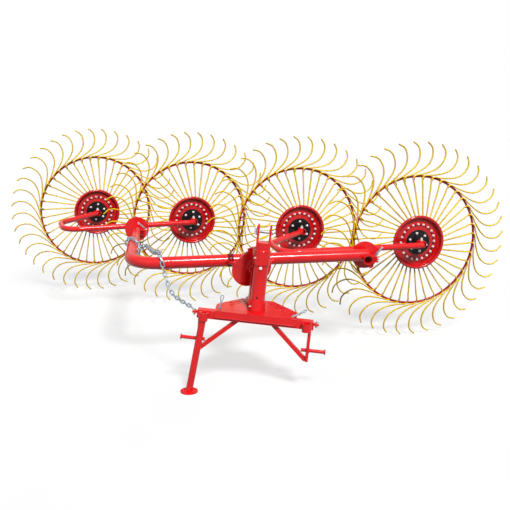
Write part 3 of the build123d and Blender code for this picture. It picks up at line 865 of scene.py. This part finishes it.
@dataclass
class PivotTrim:
    """The weld, the fingered lug, its bolt, its strap and the nipple beside a rocker's disc.

    Lengths are in millimetres from the pivot.
    """

    side: str
    fitter: Fitter
    weld_radius: float = 34.0
    finger: Sequence[tuple[float, float]] = (
        (24, -88), (66, -88), (80, -82), (85, -73), (80, -64), (66, -58), (24, -58))
    finger_heights: Sequence[float] = (2, -14, -30)
    cheek: Sequence[tuple[float, float]] = (
        (22, -80), (40, -80), (52, -68), (52, 6), (46, 12), (22, 12))
    bolt_side: float = 74.0
    bolt_back: float = -73.0
    strap_width: float = 13.0
    left_strap: Sequence[tuple[float, float]] = ((14, 54), (60, 14))
    right_strap: Sequence[tuple[float, float]] = ((58, -2), (108, 60))

    def lug(self) -> bpy.types.Object:
        """Models the three fingers and the cheek that carries them.

        Returns:
            The lug.
        """
        parts = [placed(plate(self.finger, 7, 1.2, "finger"), at(0, 0, height))
                 for height in self.finger_heights]
        parts.append(placed(plate(self.cheek, 6, 1.2, "cheek"), at(0, -58, 0) @ FACING_FRONT))
        return joined(parts, "lug")

    def bolt(self) -> bpy.types.Object:
        """Models the bolt through the fingers.

        Returns:
            The bolt.
        """
        head = placed(hex_bolt(0.013, 0.007, 0.0085, 0.0016),
                      at(self.bolt_side, self.bolt_back, 5.4))
        shank = placed(stem(0.0042, 0.048), at(self.bolt_side, self.bolt_back, -42))
        return joined([head, shank], "bolt")

    def strap(self) -> bpy.types.Object:
        """Models the flat bar with cut corners, from its first end to its far end.

        Returns:
            The strap.
        """
        ends = self.left_strap if self.side == "left" else self.right_strap
        (x, z), (far_x, far_z) = ends
        reach = math.hypot(far_x - x, far_z - z)
        rise = math.degrees(math.atan2(far_z - z, far_x - x))
        half = self.strap_width / 2
        cut = 0.5 * half
        outline = ((-cut, -half), (reach + cut, -half), (reach + half, 0), (reach + cut, half),
                   (-cut, half), (-half, 0))
        return placed(plate(outline, 5, 1.4, "strap"),
                      at(x, -50, z) @ spin(-rise, "Y") @ FACING_FRONT)

    def build(self) -> None:
        """Builds the disc's weld, the lug, the bolt, the strap and the nipple."""
        place, fit, side = frame_at(f"rocker_{self.side}_tilt"), self.fitter.fit, self.side
        rocker = Body.LEFT_ROCKER if side == "left" else Body.RIGHT_ROCKER
        weld = placed(ring_bead(self.weld_radius / MILLIMETRES, 0.0036),
                      at(0, -6, 0) @ FACING_FRONT)
        fit(weld, f"disc_weld_{side}", place, Body.BOOM, RED_PAINT)
        fit(self.lug(), f"pivot_lug_{side}", place, Body.BOOM, RED_PAINT)
        fit(self.bolt(), f"pivot_lug_bolt_{side}", place, Body.BOOM, BRIGHT_ZINC)
        fit(self.strap(), f"pivot_strap_{side}", place, Body.BOOM, GALVANISED)
        grease = placed(nipple(), at(0, 56, 41.5))
        fit(grease, f"bearing_nipple_{side}", place, rocker, ZINC)


@dataclass
class BoomTrim:
    """The dark ring painted as the mast's shadow on the boom, the cone, the welds and the nipple on
    the boom.
    """

    fitter: Fitter
    shadow_band_place: tuple[float, float, float] = (-129.0, 383.0, 0.0)
    gusset_near: tuple[float, float] = (104.0, 219.0)
    gusset_far: tuple[float, float] = (158.0, 346.0)
    gusset_face: float = 5.0

    def build(self) -> None:
        """Builds the boom's small pieces."""
        place, pivot = frame_at("boom_rock"), frame_at("rocker_left_tilt")
        # A thin dark ring that is painted shadow: it stands where the mast casts its shadow on the
        # boom.
        shadow_band = turned(((0.0401, -0.018), (0.0425, -0.018), (0.0432, -0.0168), (0.0432, 0.0168),
                       (0.0425, 0.018), (0.0401, 0.018), (0.0401, -0.018)), 40, "shadow_band")
        self.fitter.fit(shadow_band, "boom_shadow_band", place @ at(*self.shadow_band_place) @ FACING_RIGHT, Body.BOOM,
                        SEAM_AND_SHADOW_PAINT)
        cone = turned(((0.0332, -0.472), (0.0398, -0.4712), (0.0395, -0.466), (0.0345, -0.446),
                       (0.0332, -0.4445), (0.0332, -0.472)), 40, "cone")
        self.fitter.fit(cone, "boom_leg_cone", pivot @ FACING_BACK, Body.BOOM, RED_PAINT)
        (near_x, near_y), (far_x, far_y) = self.gusset_near, self.gusset_far
        welds = [placed(ring_bead(TUBE_BEAD, TUBE_BEAD_THICK), at(0, near_y, 0) @ FACING_FRONT)]
        for face in (self.gusset_face, -self.gusset_face):
            welds += [line_bead(((side * near_x, near_y, face), (side * far_x, far_y, face)))
                      for side in (-1, 1)]
        self.fitter.fit(joined(welds, "welds"), "boom_welds", place, Body.BOOM, RED_PAINT)
        grease = placed(nipple(), at(0, 280, 44.5))
        self.fitter.fit(grease, "rock_nipple", place, Body.BOOM, ZINC)


@dataclass
class Chain:
    """The galvanised chain, looped round the boom's leg and hanging to the left end lug.

    The loop's and the hanging run's places are in millimetres from the rock axis.
    """

    fitter: Fitter
    pitch: float = 0.033
    wire_radius: float = 0.0042
    half_width: float = 0.0102
    link_twist: float = 38.0
    loop_middle: float = 930.0
    loop_slant: float = 115.0
    loop_reach: float = 52.0
    leg_side: float = -694.0
    leg_end: float = 1560.0
    leg_turn: float = -4.2
    loop_steps: int = 72
    shackle_place: tuple[float, float, float] = (-596.0, 400.0, 70.0)
    hanging: Sequence[Sequence[float]] = (
        (-690, 812, 4), (-669, 852, 14), (-656, 836, 24), (-645, 740, 28), (-632, 636, 33),
        (-621, 530, 41), (-609, 440, 53), (-592, 396, 60), (-580, 352, 44), (-573, 333, 6),
        (-568, 325, -28), (-559, 313, -62), (-546, 288, -109), (-533, 264, -149),
        (-511, 223, -175), (-479, 162, -188), (-447, 103, -196), (-420, 52, -203),
        (-409, 32, -209))

    def link(self) -> bpy.types.Object:
        """Models one link along x, flat in x and y.

        Returns:
            The link.
        """
        half = self.pitch / 2 + self.wire_radius - 0.0002
        side = self.half_width
        quarter = ((half, 0), (half - 0.0042, 0.0068), (half - 0.0085, side), (0, side))
        corners = list(quarter) + [(-x, y) for x, y in reversed(quarter[:-1])]
        corners += [(x, -y) for x, y in reversed(corners[1:-1])]
        return wire([(x, y, 0) for x, y in corners], self.wire_radius, 6, 1, "link", loop=True)

    def loop(self) -> list[Vector]:
        """Finds the slanted loop round the boom's leg.

        Returns:
            Points in metres.
        """
        points, reach = [], self.loop_reach
        for step in range(self.loop_steps + 1):
            turn = math.radians(360 / self.loop_steps * step)
            back = self.loop_middle - self.loop_slant * math.cos(turn)
            middle = self.leg_side + (self.leg_end - back) * math.tan(math.radians(self.leg_turn))
            points.append((middle + reach * math.cos(turn), back, reach * math.sin(turn)))
        return [Vector(point) / MILLIMETRES for point in points]

    def strung(self, points: Sequence[Vector]) -> list[Matrix]:
        """Spaces links along a line, every other one turned a quarter.

        Args:
            points: The line in metres.

        Returns:
            Each link's place.
        """
        total = sum((b - a).length for a, b in zip(points, points[1:]))
        count = round(total / self.pitch)
        step, places, run, number = total / count, [], 0.0, 0
        for start, end in zip(points, points[1:]):
            length = (end - start).length
            while number < count and (number + 0.5) * step <= run + length:
                middle = start.lerp(end, ((number + 0.5) * step - run) / length)
                turn = (end - start).to_track_quat("X", "Z").to_matrix().to_4x4()
                roll = spin(self.link_twist + 90 * (number % 2), "X")
                places.append(Matrix.Translation(middle) @ turn @ roll)
                number += 1
            run += length
        return places

    def shackle(self) -> bpy.types.Object:
        """Models the bow, its two eyes and its bolt, with the bow upwards.

        Returns:
            The shackle.
        """
        line = ((-11, 0, 0), (-12, 0, 16), (-9, 0, 29), (0, 0, 35), (9, 0, 29), (12, 0, 16),
                (11, 0, 0))
        bow = wire(metres(line), 0.0046, 8, 3, "bow")
        eye = ((0.0052, 0), (0.0098, 0), (0.0098, 0.009), (0.0052, 0.009), (0.0052, 0))
        eyes = [placed(turned(eye, 14, "eye"), at(x, 0, 0) @ FACING_RIGHT) for x in (-16, 7)]
        bolt = placed(hex_bolt(0.015, 0.008, 0.0086, 0.001), at(16, 0, 0) @ FACING_RIGHT)
        shank = placed(stem(0.005, 0.038), at(-20, 0, 0) @ FACING_RIGHT)
        return joined([bow, *eyes, bolt, shank], "shackle")

    def build(self) -> None:
        """Builds the loop, the hanging run and the shackle that joins them."""
        place = frame_at("boom_rock")
        hanging = [Vector(point) / MILLIMETRES for point in self.hanging]
        links = copies(self.link(), self.strung(self.loop()) + self.strung(hanging), "chain")
        self.fitter.fit(links, "hitch_chain", place, Body.BOOM, GALVANISED)
        turn = place @ at(*self.shackle_place) @ spin(20, "Z") @ spin(-75, "X")
        self.fitter.fit(self.shackle(), "chain_shackle", turn, Body.BOOM, GALVANISED)


@dataclass
class SwivelTrim:
    """The welds and the grease nipples of the swivel."""

    fitter: Fitter
    ring_depths: Sequence[float] = (100.0, 186.0)
    root_side: float = 31.0
    root_back: float = 57.0
    root_spans: Sequence[tuple[float, float]] = ((-232.0, -172.0), (64.0, 143.0))
    nipple_turn: float = -58.0
    nipple_places: Sequence[tuple[float, float]] = ((-50.2, 104.0), (-52.0, -200.0))

    def build(self) -> None:
        """Builds the welds and the nipples."""
        place, x, y = swivel_frame(), self.root_side, self.root_back
        welds = [placed(ring_bead(TUBE_BEAD, TUBE_BEAD_THICK), at(0, depth, 0) @ FACING_FRONT)
                 for depth in self.ring_depths]
        for low, high in self.root_spans:
            welds += [line_bead(((side * x, y, low), (side * x, y, high))) for side in (-1, 1)]
        self.fitter.fit(joined(welds, "welds"), "swivel_welds", place, Body.SWIVEL, RED_PAINT)
        turn = spin(self.nipple_turn, "Z")
        grease = [placed(nipple(), turn @ at(0, depth, height) @ FACING_FRONT)
                  for depth, height in self.nipple_places]
        self.fitter.fit(joined(grease, "nipples"), "swivel_nipples", place, Body.SWIVEL, ZINC)


@dataclass
class HitchTrim:
    """The loose pins, the collars, the bolts and the welds of the hitch frame.

    Places are in millimetres from the mast's foot.
    """

    fitter: Fitter
    stored_left: tuple[float, float, float] = (-223.0, -67.0, 0.5)
    stored_right: tuple[float, float, float] = (223.0, -48.0, 0.5)
    collar_side: float = 439.0
    collar_back: float = -60.0
    collar_height: float = -197.0
    linch_place: tuple[float, float, float] = (-53.0, 0.0, 474.0)
    lug_bolt_side: float = 374.0
    lug_bolt_back: float = -64.0
    column_face: float = 44.2
    column_bolt_height: float = 279.0
    column_hole_shade: tuple[float, float, float] = (-3.5, -44.2, 93.0)

    def pins(self) -> None:
        """Builds the pins kept on the plate, the lower pins' end collars and the linch pin."""
        place, fit = mast_frame(), self.fitter.fit
        for name, turn in (("left", at(*self.stored_left) @ spin(7, "Y") @ spin(70, "Z")),
                           ("right", at(*self.stored_right) @ spin(58, "Y") @ spin(20, "Z"))):
            fit(store_pin(), f"stored_pin_{name}", place @ turn, Body.HITCH, GALVANISED)
        for side, name in ((-1, "left"), (1, "right")):
            collar = turned(((0, 0), (0.0160, 0), (0.0172, 0.001), (0.0172, 0.0065),
                             (0.0160, 0.0076), (0, 0.0076)), 28, "collar")
            turn = at(side * self.collar_side, self.collar_back, self.collar_height)
            fit(collar, f"lower_collar_{name}", place @ turn @ spin(side * 90, "Y"), Body.HITCH,
                RED_PAINT)
        turn = at(*self.linch_place) @ spin(12, "X")
        fit(linch_pin(0.036), "linch_pin_top", place @ turn, Body.HITCH, ZINC)

    def lug_bolts(self) -> None:
        """Builds the bolts in the end lugs."""
        parts, y = [], self.lug_bolt_back
        for x in (-self.lug_bolt_side, self.lug_bolt_side):
            parts += [placed(hex_bolt(0.017, 0.008, 0.011, 0.0018), at(x, y, -20)),
                      placed(hex_bolt(0.017, 0.009, 0.011, 0.0018, 0.006),
                             at(x, y, -32) @ spin(180, "X")),
                      placed(stem(0.0052, 0.014), at(x, y, -33))]
        self.fitter.fit(joined(parts, "bolts"), "hitch_bolts", mast_frame(), Body.HITCH, ZINC)

    def column_pieces(self) -> None:
        """Builds the bolt through the column and, below it, a black cup painted as the shade inside
        a hole.
        """
        place, fit = mast_frame(), self.fitter.fit
        face, z = self.column_face, self.column_bolt_height
        parts = [placed(hex_bolt(0.0155, 0.009, 0.0098, 0.002), at(0, -face, z) @ FACING_FRONT),
                 placed(hex_bolt(0.0155, 0.010, 0.0098, 0.002, 0.004),
                        at(0, face, z) @ FACING_BACK),
                 placed(stem(0.0078, 0.09, 16), at(0, 45, z) @ FACING_FRONT)]
        bolt = joined(parts, "bolt")
        fit(bolt, "column_bolt_hex", place, Body.HITCH, BRIGHT_ZINC)
        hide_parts("column_bolt")
        # A black cup that stands for the shade inside a hole: painted shade.
        rings = ((0.0062, -0.001), (0.0062, 0.0012), (0.0045, 0.0014), (0.0042, 0.0004),
                 (0, 0.0004))
        hole = placed(turned(rings, 14, "hole"), at(*self.column_hole_shade) @ FACING_FRONT)
        fit(hole, "column_hole_shade", place, Body.HITCH, BLACK_AND_SHADE_PAINT)

    def welds(self) -> None:
        """Builds the weld beads of bars, braces, sleeves, lugs and beam."""
        parts = [line_bead(((-242, -98, -42), (242, -98, -42)), 2.0),
                 line_bead(((-235, -31, -9), (235, -31, -9))),
                 placed(ring_bead(0.0452, 0.003), at(0, 0, 382.5))]
        for side in (-1, 1):
            parts += [
                line_bead(((side * 327, -86, -58), (side * 345, -86, -58))),
                line_bead(((side * 326, -85, -59), (side * 326, -35, -59))),
                line_bead(((side * 339, -91, -15), (side * 339, -91, -46))),
                line_bead(((side * 279, -91, -15), (side * 279, -91, -46))),
                line_bead(((side * 354, -80, -19.5), (side * 354, -48, -19.5)), 2.2),
                line_bead(((side * 353.5, -90, -10), (side * 353.5, -90, -56)), 1.8),
                line_bead(((side * 96, -73, -59), (side * 132, -73, -59)), 2.4),
                line_bead(((side * 96, -47, -59), (side * 132, -47, -59)), 2.4),
            ]
        self.fitter.fit(joined(parts, "welds"), "hitch_welds", mast_frame(), Body.HITCH,
                        RED_PAINT)

    def build(self) -> None:
        """Builds everything."""
        self.pins()
        self.lug_bolts()
        self.column_pieces()
        self.welds()


@dataclass
class Frameworks:
    """The painted frame, boom and rockers that come from the frame as they are."""

    paints: Paintbox
    bright: tuple[str, ...] = ("top_link_pin", "lock_pin")
    shaded: tuple[str, ...] = ("rock_pin",)

    def build(self) -> None:
        """Dresses every node that isn't a wheel's."""
        for name, node in frame["nodes"].items():
            if name.startswith("wheel_") and not name.startswith("wheel_axles"):
                continue
            finish = RED_PAINT
            if name in self.bright:
                finish = STEEL
            # The rock pin gets the darker red as painted shadow, where the boom and the mast shade
            # it.
            elif name in self.shaded:
                finish = DEEP_RED_AND_SHADE_PAINT
            self.paints.dress(node, finish)


def seen_white(tree: bpy.types.NodeTree) -> bpy.types.NodeSocket:
    """Picks the rays that show the white background: seen directly, mirrored or through glass.

    Args:
        tree: The material's or the world's nodes.

    Returns:
        The output that is 1 for such a ray.
    """
    paths = tree.nodes.new("ShaderNodeLightPath")
    shown = paths.outputs["Is Camera Ray"]
    for name in ("Is Glossy Ray", "Is Transmission Ray"):
        either = tree.nodes.new("ShaderNodeMath")
        either.operation = "MAXIMUM"
        tree.links.new(shown, either.inputs[0])
        tree.links.new(paths.outputs[name], either.inputs[1])
        shown = either.outputs[0]
    return shown


@dataclass
class Studio:
    """The floor, the lamps and the camera."""

    camera_place: tuple[float, float, float] = (0.4332, -5.8323, 1.9342)
    look: tuple[float, float] = (-0.0506, 0.9987)
    pitch: float = 13.09
    lens: float = 56.47
    sensor: float = 36.0
    floor_half: float = 30.0
    floor_lift: float = 0.67
    lamp_height: float = 6.0
    sky_light: float = 0.25

    def floor(self) -> None:
        """Lays a pale floor that is white to the camera."""
        deselect()
        bpy.ops.mesh.primitive_plane_add(size=2 * self.floor_half)
        plane = bpy.context.object
        plane.name = "studio_floor"
        graph = NodeGraph("pale_floor")
        pale, paler = (0.25, 0.25, 0.25), (0.28, 0.28, 0.28)
        soft = graph.ramp(graph.noise(0.8, 2.0), ((0.3, pale), (0.7, paler)))
        white_to = seen_white(graph.tree)
        shown = graph.add("ShaderNodeMix", data_type="RGBA")
        graph.join(white_to, shown.inputs["Factor"])
        shown.inputs[6].default_value = (0.10, 0.10, 0.10, 1.0)
        graph.join(soft, shown.inputs[7])
        graph.join(shown.outputs[2], graph.shader.inputs["Base Color"])
        lifted = graph.add("ShaderNodeMix", data_type="RGBA")
        graph.join(white_to, lifted.inputs["Factor"])
        lifted.inputs[6].default_value = (0.0, 0.0, 0.0, 1.0)
        lifted.inputs[7].default_value = (*[self.floor_lift] * 3, 1.0)
        graph.join(lifted.outputs[2], graph.shader.inputs["Emission Color"])
        graph.shader.inputs["Emission Strength"].default_value = 1.0
        graph.shader.inputs["Roughness"].default_value = 0.9
        graph.shader.inputs["Specular IOR Level"].default_value = 0.0
        plane.data.materials.append(graph.material)

    def lamps(self) -> None:
        """Hangs two soft suns."""
        suns = (("key_sun", (41.0, 26.0), 4.0, 12.0), ("fill_sun", (55.0, -45.0), 0.45, 60.0))
        for name, turn, strength, spread in suns:
            deselect()
            bpy.ops.object.light_add(type="SUN", location=(0, 0, self.lamp_height))
            lamp = bpy.context.object
            lamp.name = name
            lamp.data.energy = strength
            lamp.data.angle = math.radians(spread)
            lamp.rotation_euler = (math.radians(turn[0]), 0, math.radians(turn[1]))

    def sky(self) -> None:
        """Makes a soft pale world that shows white."""
        world = bpy.data.worlds.new("studio_world")
        bpy.context.scene.world = world
        world.use_nodes = True
        tree = world.node_tree
        light = tree.nodes["Background"]
        light.inputs["Color"].default_value = (1, 1, 1, 1)
        light.inputs["Strength"].default_value = self.sky_light
        seen = tree.nodes.new("ShaderNodeBackground")
        seen.inputs["Color"].default_value = (1, 1, 1, 1)
        seen.inputs["Strength"].default_value = 1.0
        mixed = tree.nodes.new("ShaderNodeMixShader")
        tree.links.new(seen_white(tree), mixed.inputs["Fac"])
        tree.links.new(light.outputs[0], mixed.inputs[1])
        tree.links.new(seen.outputs[0], mixed.inputs[2])
        tree.links.new(mixed.outputs[0], tree.nodes["World Output"].inputs["Surface"])

    def camera(self) -> None:
        """Sets the camera where the photograph was taken from."""
        deselect()
        bpy.ops.object.camera_add(location=self.camera_place)
        camera = bpy.context.object
        camera.name = "photo_camera"
        camera.data.lens = self.lens
        camera.data.sensor_width = self.sensor
        camera.data.sensor_fit = "HORIZONTAL"
        yaw = math.atan2(-self.look[0], self.look[1])
        camera.rotation_euler = (math.radians(90 - self.pitch), 0, yaw)
        bpy.context.scene.camera = camera

    def build(self) -> None:
        """Builds the whole studio."""
        self.floor()
        self.lamps()
        self.sky()
        self.camera()
        bpy.context.scene.view_settings.view_transform = "Standard"


def main() -> None:
    """Builds every piece in order and logs it."""
    logging.basicConfig(level=logging.INFO, format="%(message)s")
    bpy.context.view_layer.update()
    paints = Paintbox()
    Studio().build()
    LOG.info("studio")
    Frameworks(paints).build()
    LOG.info("frame")
    fitter = Fitter(paints)
    for number in range(1, 5):
        StarWheel(number, fitter).build()
        LOG.info("wheel %d", number)
    trims = [ArmEnd(number, fitter) for number in range(1, 5)]
    trims += [PivotTrim(side, fitter) for side in ("left", "right")]
    trims += [BoomTrim(fitter), Chain(fitter), SwivelTrim(fitter), HitchTrim(fitter)]
    for trim in trims:
        trim.build()
        LOG.info("%s", type(trim).__name__)


if __name__ == "__main__":
    main()
